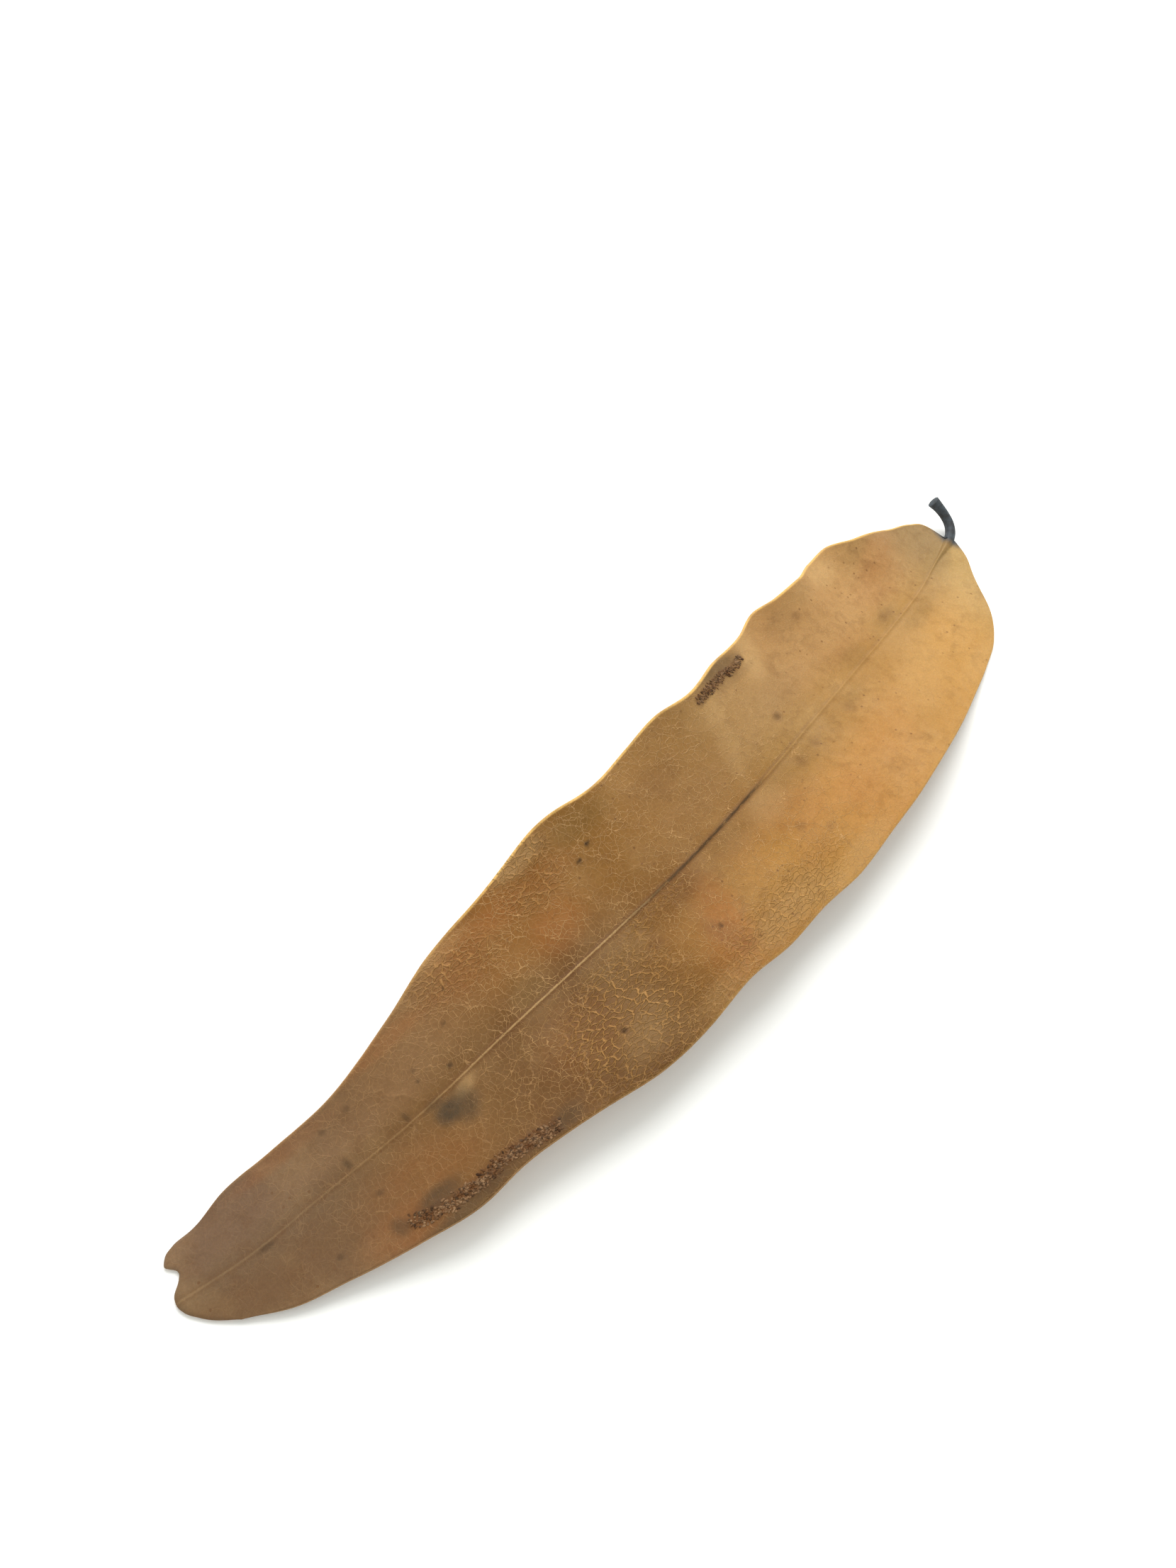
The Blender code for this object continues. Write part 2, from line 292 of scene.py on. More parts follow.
def sections(shape):
    """The skin's rings, stalk first: their points in mm, what each point knows, and how a ring is divided."""
    half = shape.columns // 2
    even = np.linspace(-1, 1, 2 * half + 1)
    across = np.sign(even) * np.abs(even) ** CROWDING_ACROSS
    even = np.linspace(0, 1, shape.rows)
    along = even - CROWDING_ALONG * np.sin(2 * np.pi * even)
    blade = blade_part(shape, along, across)
    stalk = stalk_part(shape, across, blade["out"][0, half])
    part = {key: np.concatenate([stalk[key], blade[key]]) for key in blade}
    middle, normal, out = part["middle"], part["normal"], part["out"]
    over, under, rim = part["over"], part["under"], part["rim"]

    def edge(column, sign):
        found = []
        for angle in np.radians(RIM_ANGLES)[::sign]:
            outwards = out[:, column] * (sign * rim * np.cos(angle))[:, None]
            high = np.where(angle > 0, over[:, column], under[:, column]) * np.sin(angle)
            found.append(middle[:, column] + outwards + normal[:, column] * high[:, None])
        return np.stack(found, axis=1)

    top = middle + normal * over[..., None]
    bottom = middle - normal * under[..., None]
    rings = np.concatenate([top, edge(-1, 1), bottom[:, ::-1], edge(0, -1)], axis=1)
    rows, places = rings.shape[:2]
    columns, edges = len(across), len(RIM_ANGLES)

    def round_ring(upper, lower, right, left):
        ends = [np.repeat(value[:, None], edges, 1) for value in (right, left)]
        return np.concatenate([upper, ends[0], lower[:, ::-1], ends[1]], axis=1)

    def same_on_both(grid):
        return round_ring(grid, grid, grid[:, -1], grid[:, 0])

    ones, zeros = np.ones((rows, columns)), np.zeros((rows, columns))
    knows = {
        "place": same_on_both(part["place"]),
        "signed": same_on_both(part["signed"]),
        "across": same_on_both(np.repeat(across[None], rows, 0)),
        "upper": round_ring(ones, zeros, np.full(rows, 0.5), np.full(rows, 0.5)),
        "along": np.repeat(part["along"][:, None], places, 1),
        "stalk": np.repeat(part["stalk"][:, None], places, 1),
    }
    return rings, knows, columns, edges


def ring_faces(rows, places, columns, edges):
    """Quads between neighbouring rings, a fan on the cut stalk and a strip that closes the tip."""
    ring = np.arange(places)
    row, place = np.meshgrid(np.arange(rows - 1), ring, indexing="ij")
    here, following = row * places + place, row * places + (place + 1) % places
    faces = np.stack([here, here + places, following + places, following], -1).reshape(-1, 4).tolist()
    faces.append(ring.tolist())
    last = (rows - 1) * places
    upper = list(range(columns))
    lower = [2 * columns + edges - 1 - column for column in range(columns)]
    for column in range(columns - 1):
        corners = (upper[column], lower[column], lower[column + 1], upper[column + 1])
        faces.append([last + corner for corner in corners])
    right = [upper[-1], *range(columns, columns + edges), lower[-1]]
    left = [lower[0], *range(2 * columns + edges, places), upper[0]]
    for side in (right, left):
        faces.append([last + corner for corner in reversed(side)])
    return faces


def skin_box_middle(shape):
    """Middle of the skin's box seen from above, and its lowest height, in mm."""
    rings = sections(shape)[0]
    low, high = rings.min(axis=(0, 1)), rings.max(axis=(0, 1))
    return np.array([(low[0] + high[0]) / 2, (low[1] + high[1]) / 2, low[2]])


def to_frame(points, shape):
    """Points in the leaf's own mm, put where the frame has the leaf, in metres."""
    foot = np.array([(leaf_low.x + leaf_high.x) / 2, (leaf_low.y + leaf_high.y) / 2, leaf_low.z])
    return (np.asarray(points) - skin_box_middle(shape)) * MM + foot


# ---------------------------------------------------------------------------------------------------
# Marks on the blade
# ---------------------------------------------------------------------------------------------------

# For each kind of mark: (along, across, half length in mm, half width in mm, turn in degrees, strength)
MARKS = {
    "rust": (
        (0.10, -0.75, 5.0, 1.8, 10, 0.45), (0.12, -0.45, 5.0, 2.2, 0, 0.35),
        (0.28, 0.55, 6.0, 3.5, 20, 0.25), (0.36, 0.62, 3.0, 2.5, 0, 0.30),
        (0.42, 0.35, 4.5, 3.0, -20, 0.40), (0.44, 0.62, 3.0, 2.0, 0, 0.30),
        (0.61, -0.70, 3.0, 1.5, 0, 0.35), (0.66, -0.80, 3.0, 1.4, 0, 0.4),
        (0.635, -0.38, 3.2, 2.2, 20, 0.55), (0.70, -0.85, 4.0, 1.4, 0, 0.45),
        (0.72, -0.66, 3.0, 1.4, 0, 0.35), (0.545, 0.56, 2.2, 5.0, -25, 0.75),
        (0.57, 0.78, 2.2, 3.6, -25, 0.4), (0.69, 0.45, 4.5, 3.5, 0, 0.3), (0.84, 0.50, 6.0, 3.4, 0, 0.35),
        (0.88, 0.80, 4.0, 1.8, 0, 0.45), (0.215, -0.20, 4.0, 2.0, 0, 0.2), (0.48, 0.35, 3.0, 3.0, 0, 0.2),
        (0.80, -0.93, 6.0, 0.8, 0, 0.45), (0.90, -0.90, 5.0, 0.8, 0, 0.4), (0.87, 0.95, 4.0, 0.8, 0, 0.3),
    ),
    "pale": (
        (0.17, -0.88, 3.0, 1.6, 0, 0.7), (0.31, -0.85, 3.5, 1.6, 60, 0.5),
        (0.33, -0.60, 4.0, 1.6, 60, 0.12), (0.20, 0.50, 6.0, 3.0, 15, 0.25),
        (0.406, -0.52, 5.0, 1.2, 63, 0.26), (0.40, -0.80, 3.2, 1.6, 0, 0.25),
        (0.625, -0.95, 3.0, 1.0, 0, 0.75), (0.65, 0.62, 3.5, 4.0, 20, 0.25), (0.16, 0.15, 4.0, 2.0, 0, 0.2),
        (0.775, 0.09, 1.4, 0.7, 20, 0.45), (0.43, 0.15, 3.0, 1.8, 0, 0.35), (0.30, -0.05, 6.0, 0.8, 0, 0.2),
        (0.06, 0.55, 5.0, 4.0, 0, 0.25), (0.50, 0.85, 6.0, 1.6, 0, 0.3), (0.72, -0.97, 3.5, 0.8, 0, 0.35),
        (0.13, 0.93, 5.0, 1.4, 0, 0.25), (0.42, 0.93, 6.0, 1.4, 0, 0.35), (0.59, 0.92, 4.0, 1.2, 0, 0.3),
        # The last pale patch, on the core of the puckered patch, is a painted highlight.
        (0.21, -0.90, 6.0, 1.2, 0, 0.22), (0.665, 0.74, 3.2, 1.9, 15, 0.3),
    ),
    "olive": (
        (0.15, -0.10, 3.0, 1.4, 0, 0.45), (0.225, -0.10, 2.6, 1.3, 0, 0.5), (0.12, 0.12, 4.0, 1.3, 0, 0.5),
        (0.27, 0.10, 2.5, 1.0, 0, 0.35), (0.69, -0.18, 2.0, 1.8, 0, 0.55), (0.56, -0.85, 4.0, 1.4, 0, 0.7),
        (0.22, -0.93, 3.0, 1.2, 0, 0.35), (0.11, -0.93, 4.0, 0.9, 0, 0.3), (0.48, 0.10, 3.0, 1.5, 0, 0.3),
        (0.75, -0.30, 5.0, 2.0, 0, 0.25), (0.63, 0.15, 5.0, 1.6, 0, 0.3), (0.25, 0.75, 3.0, 1.4, 0, 0.2),
    ),
    "umber": (
        (0.26, -0.80, 2.6, 1.4, 0, 0.3), (0.545, 0.12, 2.6, 1.4, 10, 0.55),
        (0.285, 0.17, 0.9, 0.8, 0, 0.45), (0.37, 0.13, 0.9, 0.8, 0, 0.5), (0.43, 0.46, 0.7, 0.6, 0, 0.6),
        (0.412, 0.63, 0.6, 0.5, 0, 0.5), (0.555, 0.62, 1.3, 2.8, 15, 0.55), (0.74, 0.86, 6.0, 2.0, -5, 0.4),
        (0.80, 0.90, 6.0, 1.6, 0, 0.3), (0.345, -0.28, 0.7, 0.7, 0, 0.8), (0.24, -0.77, 0.6, 0.6, 0, 0.55),
        (0.345, 0.13, 0.7, 0.7, 0, 0.55), (0.597, 0.30, 0.8, 0.6, 0, 0.6), (0.668, 0.60, 0.5, 0.5, 0, 0.6),
        (0.48, -0.65, 3.5, 1.6, 0, 0.45), (0.46, -0.35, 5.0, 2.0, 0, 0.2), (0.15, -0.13, 1.6, 0.7, 0, 0.45),
        (0.69, 0.35, 4.0, 2.6, 0, 0.35), (0.32, -0.45, 4.0, 2.4, 0, 0.25), (0.95, 0.40, 5.0, 3.0, 0, 0.2),
        (0.74, 0.52, 4.0, 2.0, 0, 0.25),
    ),
    "soot": (
        (0.571, -0.67, 0.26, 0.22, 0, 1.0), (0.586, -0.60, 0.24, 0.22, 0, 1.0),
        (0.753, -0.52, 0.20, 0.20, 0, 0.5), (0.796, -0.32, 0.22, 0.20, 0, 0.5),
        (0.793, -0.45, 0.20, 0.20, 0, 0.4), (0.772, -0.18, 0.30, 0.26, 0, 0.6),
        (0.845, -0.76, 0.4, 0.25, 30, 0.3), (0.868, -0.75, 0.3, 0.25, 0, 0.3),
        (0.82, -0.10, 0.3, 0.5, 0, 0.4), (0.87, -0.15, 0.3, 0.6, 0, 0.45),
        (0.552, 0.55, 0.26, 0.22, 0, 0.8), (0.345, -0.28, 0.4, 0.35, 0, 0.3),
        (0.668, 0.60, 0.25, 0.22, 0, 0.8), (0.63, -0.44, 0.16, 0.16, 0, 0.7),
        (0.735, -0.72, 0.2, 0.16, 0, 0.6), (0.87, 0.35, 0.4, 0.3, 0, 0.35), (0.945, 0.05, 0.7, 0.3, 0, 0.4),
        (0.92, 0.70, 0.3, 0.3, 0, 0.35),
    ),
    "grey": (
        (0.797, 0.17, 1.3, 1.1, 20, 1.0), (0.785, 0.22, 1.8, 1.2, 60, 0.7), (0.80, 0.02, 1.0, 0.5, 0, 0.4),
        (0.845, 0.70, 2.2, 0.9, 0, 0.75), (0.83, 0.94, 5.5, 0.8, 0, 0.6), (0.765, 0.95, 3.0, 0.8, 0, 0.3),
        (0.36, -0.96, 5.0, 0.8, 0, 0.7), (0.35, -0.80, 4.0, 0.6, 0, 0.25), (0.745, 0.90, 1.6, 1.0, 0, 0.45),
        (0.878, 0.76, 0.8, 0.9, 0, 0.6),
    ),
    "emboss": (
        (0.655, 0.62, 7.0, 5.0, 15, 1.0), (0.49, 0.80, 8.0, 2.4, 0, 0.55), (0.625, -0.93, 3.5, 1.2, 0, 1.0),
        (0.72, -0.72, 5.0, 2.2, 0, 0.55), (0.63, -0.72, 3.5, 2.0, 0, 0.6), (0.57, 0.10, 4.0, 1.4, 0, 0.6),
        (0.58, 0.85, 4.0, 2.0, 0, 0.5),
    ),
}


def leaf_mm(along, across):
    """Leaf coordinates turned into mm, measured along the midrib and square to it."""
    left, right = half_widths(along)
    return along * BLADE_LENGTH, across * np.where(across < 0, left, right)


def stain(marks, along, across):
    """How strongly one kind of mark colours each point, from 0 to 1."""
    x, y = leaf_mm(along, across)
    clear = np.ones_like(along)
    for at, over, length, width, turn, strength in marks:
        middle_x, middle_y = leaf_mm(np.array([at]), np.array([over]))
        dx, dy = x - middle_x, y - middle_y
        c, s = np.cos(np.radians(turn)), np.sin(np.radians(turn))
        away = np.hypot((dx * c + dy * s) / length, (dy * c - dx * s) / width)
        clear *= 1 - strength * ease(1.35 - away)
    return 1 - clear


def path_distance(path, along, across):
    """Distance in mm from each point to a line of leaf coordinates."""
    x, y = leaf_mm(along, across)
    nodes = np.array([np.concatenate(leaf_mm(np.array([a]), np.array([c]))) for a, c in path])
    nearest = np.full(along.shape, 1e3)
    for a, b in zip(nodes[:-1], nodes[1:]):
        run = b - a
        share = np.clip(((x - a[0]) * run[0] + (y - a[1]) * run[1]) / (run @ run), 0, 1)
        nearest = np.minimum(nearest, np.hypot(x - a[0] - share * run[0], y - a[1] - share * run[1]))
    return nearest


def crust_cover(along, across):
    """1 on the crusty strips, falling to 0 just outside them."""
    cover = np.zeros_like(along)
    for path, half_width in CRUSTS:
        cover = np.maximum(cover, ease(1.5 - path_distance(path, along, across) / half_width))
    return cover


# Side veins: their gaps in mm on the left and on the right, and how far the left ones are shifted, in gaps.
SIDE_VEIN_GAPS = (4.7, 5.6)
LEFT_VEINS_SHIFT = 0.37
# How far a side vein slants and curves forward on its way to the margin, in half widths.
VEIN_SLANT, VEIN_CURVE = 0.50, 0.35


def vein_phase(along, across):
    """Counts the gaps between side veins from the base. A vein runs where half a gap is left over."""
    left, right = half_widths(along)
    on_left = across < 0
    reach = np.abs(across)
    forward = np.where(on_left, left, right) * (VEIN_SLANT * reach + VEIN_CURVE * reach**3)
    count_here = (along * BLADE_LENGTH - forward) / np.where(on_left, *SIDE_VEIN_GAPS)
    return count_here + np.where(on_left, LEFT_VEINS_SHIFT, 0.0)


# ---------------------------------------------------------------------------------------------------
# Node trees
# ---------------------------------------------------------------------------------------------------


def paint(red, green, blue):
    """A display colour, 0 to 255, as the linear values that Blender's colours hold."""
    values = np.array([red, green, blue]) / 255
    linear = np.where(values <= 0.04045, values / 12.92, ((values + 0.055) / 1.055) ** 2.4)
    return tuple(float(v) for v in linear)


def solid(colour):
    return (*tuple(colour)[:3], 1.0)


class Tree:
    """Adds nodes to one node tree and links them as they are added."""

    def __init__(self, tree):
        self.tree = tree
        self.made = 0

    def add(self, kind, inputs=None, **settings):
        node = self.tree.nodes.new(kind)
        node.location = (220 * (self.made // 6), -190 * (self.made % 6))
        self.made += 1
        for name, value in settings.items():
            setattr(node, name, value)
        for name, value in (inputs or {}).items():
            self.feed(node.inputs[name], value)
        return node

    def feed(self, socket, value):
        if isinstance(value, bpy.types.NodeSocket):
            self.tree.links.new(value, socket)
        else:
            socket.default_value = value

    def math(self, operation, *values, clamp=False):
        inputs = dict(enumerate(values))
        return self.add("ShaderNodeMath", inputs, operation=operation, use_clamp=clamp).outputs[0]

    def product(self, first, *others):
        for value in others:
            first = self.math("MULTIPLY", first, value)
        return first

    def step(self, value, low, high, to_low=0.0, to_high=1.0):
        """A smooth step from to_low, where value is low, to to_high, where it is high."""
        inputs = {"Value": value, "From Min": low, "From Max": high, "To Min": to_low, "To Max": to_high}
        return self.add("ShaderNodeMapRange", inputs, interpolation_type="SMOOTHSTEP").outputs[0]

    def blend(self, share, under, over, kind="MIX"):
        node = self.add("ShaderNodeMix", data_type="RGBA", blend_type=kind)
        for name, value in (("Factor_Float", share), ("A_Color", under), ("B_Color", over)):
            self.feed(next(s for s in node.inputs if s.identifier == name), value)
        return next(s for s in node.outputs if s.identifier == "Result_Color")

    def noise(self, where, scale, detail=2.0, roughness=0.5):
        inputs = {"Vector": where, "Scale": scale, "Detail": detail, "Roughness": roughness}
        return self.add("ShaderNodeTexNoise", inputs)

    def cells(self, where, scale, feature, randomness=1.0):
        inputs = {"Vector": where, "Scale": scale, "Randomness": randomness}
        return self.add("ShaderNodeTexVoronoi", inputs, voronoi_dimensions="2D", feature=feature)

    def wander(self, where, scale, amount):
        """The place moved about by up to amount, so that straight lines wander."""
        offset = self.add(
            "ShaderNodeVectorMath", {0: self.noise(where, scale).outputs["Color"], 1: (0.5, 0.5, 0.5)},
            operation="SUBTRACT",
        )
        shift = self.add("ShaderNodeVectorMath", {0: offset.outputs[0], "Scale": amount}, operation="SCALE")
        return self.add(
            "ShaderNodeVectorMath", {0: where, 1: shift.outputs[0]}, operation="ADD"
        ).outputs[0]


class Surface(Tree):
    """A material's nodes, with its attributes at hand."""

    def __init__(self, name):
        self.material = bpy.data.materials.new(name)
        self.material.use_nodes = True
        tree = self.material.node_tree
        tree.nodes.clear()
        super().__init__(tree)
        self.place = self.add("ShaderNodeTexCoord").outputs["Object"]
        self.known = {}

    def value(self, name):
        if name not in self.known:
            self.known[name] = self.add("ShaderNodeAttribute", attribute_name=name).outputs["Fac"]
        return self.known[name]

    def ramp(self, value, stops):
        node = self.add("ShaderNodeValToRGB", {"Fac": value})
        ramp = node.color_ramp
        ramp.interpolation = "EASE"
        while len(ramp.elements) < len(stops):
            ramp.elements.new(1.0)
        for element, (at, colour) in zip(ramp.elements, stops):
            element.position = at
            element.color = solid(paint(*colour))
        return node.outputs["Color"]

    def finish(self, **inputs):
        named = {name.replace("_", " "): value for name, value in inputs.items()}
        shader = self.add("ShaderNodeBsdfPrincipled", named)
        self.add("ShaderNodeOutputMaterial", {"Surface": shader.outputs[0]})
        return self.material


class Growth(Tree):
    """A geometry tree with named inputs, which an object's modifier runs and then leaves as a plain mesh."""

    def __init__(self, name):
        super().__init__(bpy.data.node_groups.new(name, "GeometryNodeTree"))
        self.sockets = {}
        self.face = self.tree.interface
        self.face.new_socket("Geometry", in_out="INPUT", socket_type="NodeSocketGeometry")
        self.face.new_socket("Geometry", in_out="OUTPUT", socket_type="NodeSocketGeometry")
        self.entry = self.add("NodeGroupInput")

    def named(self, name, kind="Float"):
        item = self.face.new_socket(name, in_out="INPUT", socket_type="NodeSocket" + kind)
        self.sockets[name] = item.identifier
        return self.entry.outputs[name]

    def value(self, name):
        return self.add("GeometryNodeInputNamedAttribute", {"Name": name}, data_type="FLOAT").outputs[0]

    def close(self, geometry):
        real = self.add("GeometryNodeRealizeInstances", {"Geometry": geometry})
        finish = self.named("Finish", "Material")
        painted = self.add("GeometryNodeSetMaterial", {"Geometry": real.outputs[0], "Material": finish})
        self.add("NodeGroupOutput", {"Geometry": painted.outputs[0]})

    def grow(self, obj, settings):
        """Runs the tree on the object with these inputs and returns a new object with the plain mesh."""
        modifier = obj.modifiers.new("Growth", "NODES")
        modifier.node_group = self.tree
        for name, value in settings.items():
            modifier[self.sockets[name]] = value
        bpy.context.view_layer.update()
        mesh = bpy.data.meshes.new_from_object(obj.evaluated_get(bpy.context.evaluated_depsgraph_get()))
        name = obj.name
        bpy.data.objects.remove(obj)
        mesh.name = name
        return add_object(name, mesh)


def add_object(name, data):
    obj = bpy.data.objects.new(name, data)
    bpy.context.scene.collection.objects.link(obj)
    return obj


def mesh_of(name, points, faces, values=None):
    """A mesh from points in metres, with a number at each point for every name in values."""
    mesh = bpy.data.meshes.new(name)
    mesh.from_pydata(np.asarray(points).tolist(), [], faces)
    for key, numbers in (values or {}).items():
        layer = mesh.attributes.new(key, "FLOAT", "POINT")
        layer.data.foreach_set("value", np.ascontiguousarray(numbers, np.float32).ravel())
    mesh.update()
    return mesh


# ---------------------------------------------------------------------------------------------------
# Settings
# ---------------------------------------------------------------------------------------------------


def length(name, description, default):
    return FloatProperty(
        name=name, description=description, default=default, precision=5, min=0.0, unit="LENGTH"
    )


def count(name, description, default, least=1):
    return IntProperty(name=name, description=description, default=default, min=least)


def colour(name, description, *display):
    return FloatVectorProperty(
        name=name, description=description, default=paint(*display), size=3, min=0.0, max=1.0, subtype="COLOR"
    )


class DriedLeafShape(bpy.types.PropertyGroup):
    """Sizes of the skin and of its veins."""

    rows: count("Rows", "Rings of points along the blade", 430, 40)
    stalk_rows: count("Stalk rows", "Rings of points along the stalk", 26, 6)
    columns: count("Columns", "Steps from one margin to the other", 100, 12)
    thickness: length("Thickness", "Thickness of the blade between its veins", 0.00030)
    margin_bead: length("Margin bead", "Extra half thickness of the margin", 0.00004)
    areole: length("Mesh size", "Width of the smallest meshes of the vein net", 0.00052)
    vein_height: length("Side vein height", "How far side veins stand out underneath", 0.00016)
    net_height: length("Net height", "How far the vein net stands out underneath", 0.00005)
    cockle: length("Cockle", "Depth of the uneven drying of the blade", 0.00016)
    wrinkle: length("Wrinkles", "Height of the wrinkles in the puckered patches", 0.00008)


class DriedLeafCrusts(bpy.types.PropertyGroup):
    """Size and number of the crumbs in the crusty strips."""

    crumb: length("Crumb size", "Radius of a middling crumb", 0.000095)
    density: FloatProperty(
        name="Crumbs per square metre", description="How closely the crumbs lie", default=3.3e7, min=0.0
    )
    seed: count("Seed", "Which scattering of the crumbs is used", 4, 0)


class DriedLeafFinish(bpy.types.PropertyGroup):
    """Colours of the leaf that a user would change."""

    vein: colour("Vein", "Dry vein net on the upper side", 198, 154, 104)
    straw: colour("Straw", "Midrib where it is bare and pale", 178, 144, 98)
    rust: colour("Rust", "Reddish patches", 152, 88, 40)
    pale: colour("Pale", "Bleached patches", 192, 156, 106)
    olive: colour("Olive", "Greenish patches", 92, 74, 34)
    umber: colour("Umber", "Brown patches", 90, 54, 24)
    soot: colour("Soot", "Dark mould in spots and along the midrib", 40, 28, 18)
    grey: colour("Grey", "Grey dead tissue", 62, 50, 35)
    # Painted highlight on the crests of the wrinkles, where they catch the light.
    crest_highlight: colour("Crest", "Crests of the wrinkles", 214, 160, 96)
    # Partly the margin's own paler colour, partly a painted highlight where the thick margin catches the
    # light.
    rim: colour("Rim", "Thin bright margin", 222, 178, 104)
    underside: colour("Underside", "Ground of the underside", 176, 140, 98)
    stalk: colour("Stalk", "Dark stalk", 70, 76, 82)
    crumb: colour("Crumb", "Crumbs of dead tissue", 138, 106, 76)


class DriedLeafStudio(bpy.types.PropertyGroup):
    """The table and its light."""

    floor: colour("Floor", "Pale table", 250, 250, 250)
    sky: FloatProperty(name="Sky", description="Strength of the even light", default=0.78, min=0.0)
    window: FloatProperty(
        name="Window", description="Power of the large light behind", default=3.6, min=0.0, unit="POWER"
    )
    fill: FloatProperty(
        name="Fill", description="Power of the large light in front", default=0.55, min=0.0, unit="POWER"
    )
    lens: FloatProperty(
        name="Lens", description="Focal length of the camera", default=30.0, min=1.0, unit="CAMERA"
    )


# ---------------------------------------------------------------------------------------------------
# Finishes
# ---------------------------------------------------------------------------------------------------

# Ground colour of the upper side, partly the leaf's own colour and partly painted shade: towards the stalk
# the left of the midrib is kept darker than the right, for the half that faces away from the light. Columns:
# (along, left of the midrib, beside it, right of it)
GROUND_AND_SHADE = (
    (0.02, (147, 119, 80), (146, 117, 72), (168, 135, 81)),
    (0.12, (172, 131, 81), (160, 119, 63), (180, 134, 72)),
    (0.24, (166, 124, 75), (155, 113, 55), (169, 123, 61)),
    (0.36, (153, 117, 71), (139, 101, 46), (169, 119, 57)),
    (0.46, (138, 100, 53), (128, 88, 36), (157, 111, 46)),
    (0.55, (125, 86, 37), (115, 77, 27), (138, 94, 37)),
    (0.66, (126, 83, 34), (92, 59, 20), (91, 59, 20)),
    (0.80, (125, 92, 59), (108, 76, 40), (109, 76, 38)),
    (0.94, (112, 86, 65), (105, 81, 58), (106, 79, 54)),
)
# How far each kind of stain may replace the ground colour.
STAIN_SHARES = (("pale", 0.7), ("rust", 0.5), ("olive", 0.4), ("umber", 0.6))
# Patterns of the skin: (patches to a metre, detail, roughness)
PATTERNS = {
    "coarse": (150.0, 3.0, 0.55), "middling": (620.0, 4.0, 0.6), "grain": (5200.0, 2.0, 0.6),
    "worn": (420.0, 3.0, 0.5), "mould": (1900.0, 3.0, 0.7),
}
# How the net wanders (bends to a metre, distance in metres), and its patchiness (patches to a metre, detail).
NET_WANDER = (1100.0, 0.0007)
NET_PATCHES = (900.0, 2.0)
# Large meshes to each small one, along a line.
LARGE_MESHES = 0.36
# The side veins' shaky course: (bends to a metre, detail, roughness), and how far they stray, in gaps.
SIDE_VEIN_BENDS = (330.0, 4.0, 0.6)
SIDE_VEIN_STRAY = 0.9
# How clearly the net shows along the leaf, as greys.
NET_CLEARNESS = ((0.0, 90), (0.30, 120), (0.44, 225), (0.68, 240), (0.82, 150), (1.0, 70))
# Streaks beside the midrib: how many to each millimetre, along it and across it.
STREAKS = (0.9, 6.0, 1.0)
# Places for a dark speck, to a metre.
SPECKS = 1400.0
# Puckered patches: how the ridges wander, and their cells to each millimetre, along the leaf and across it.
WRINKLE_WANDER = (0.9, 0.9)
COARSE_WRINKLES = (0.7, 1.6, 1.0)
FINE_WRINKLES = (1.0, 2.6, 1.0)
BUMP = {"Strength": 0.75, "Distance": 0.00006}


# The upper side's ground colour, holding the painted shade of the left half towards the stalk.
def ground_and_shade_colour(surface):
    along, across = surface.value("along"), surface.value("across")
    left, middle, right = (
        surface.ramp(along, [(row[0], row[column]) for row in GROUND_AND_SHADE]) for column in (1, 2, 3)
    )
    inner = surface.blend(surface.step(across, -0.45, 0.0), left, middle)
    return surface.blend(surface.step(across, 0.05, 0.5), inner, right)


def from_side_vein(tree, place):
    """Distance from the nearest side vein, as a share of the gap between two of them."""
    bends = tree.noise(place, *SIDE_VEIN_BENDS).outputs["Fac"]
    phase = tree.math("MULTIPLY_ADD", bends, SIDE_VEIN_STRAY, tree.value("phase"))
    return tree.math("ABSOLUTE", tree.math("SUBTRACT", tree.math("FRACT", phase), 0.5))


def wrinkle_ridges(tree, where, cells_per_mm, width):
    """Ridges of the puckered patches: long uneven cells that run along the leaf. The place is in leaf mm."""
    moved = tree.wander(where, *WRINKLE_WANDER)
    long = tree.add("ShaderNodeVectorMath", {0: moved, 1: cells_per_mm}, operation="MULTIPLY").outputs[0]
    distance = tree.cells(long, 1.0, "DISTANCE_TO_EDGE").outputs["Distance"]
    return tree.product(tree.step(distance, 0.0, width, 1.0, 0.0), tree.value("emboss"))


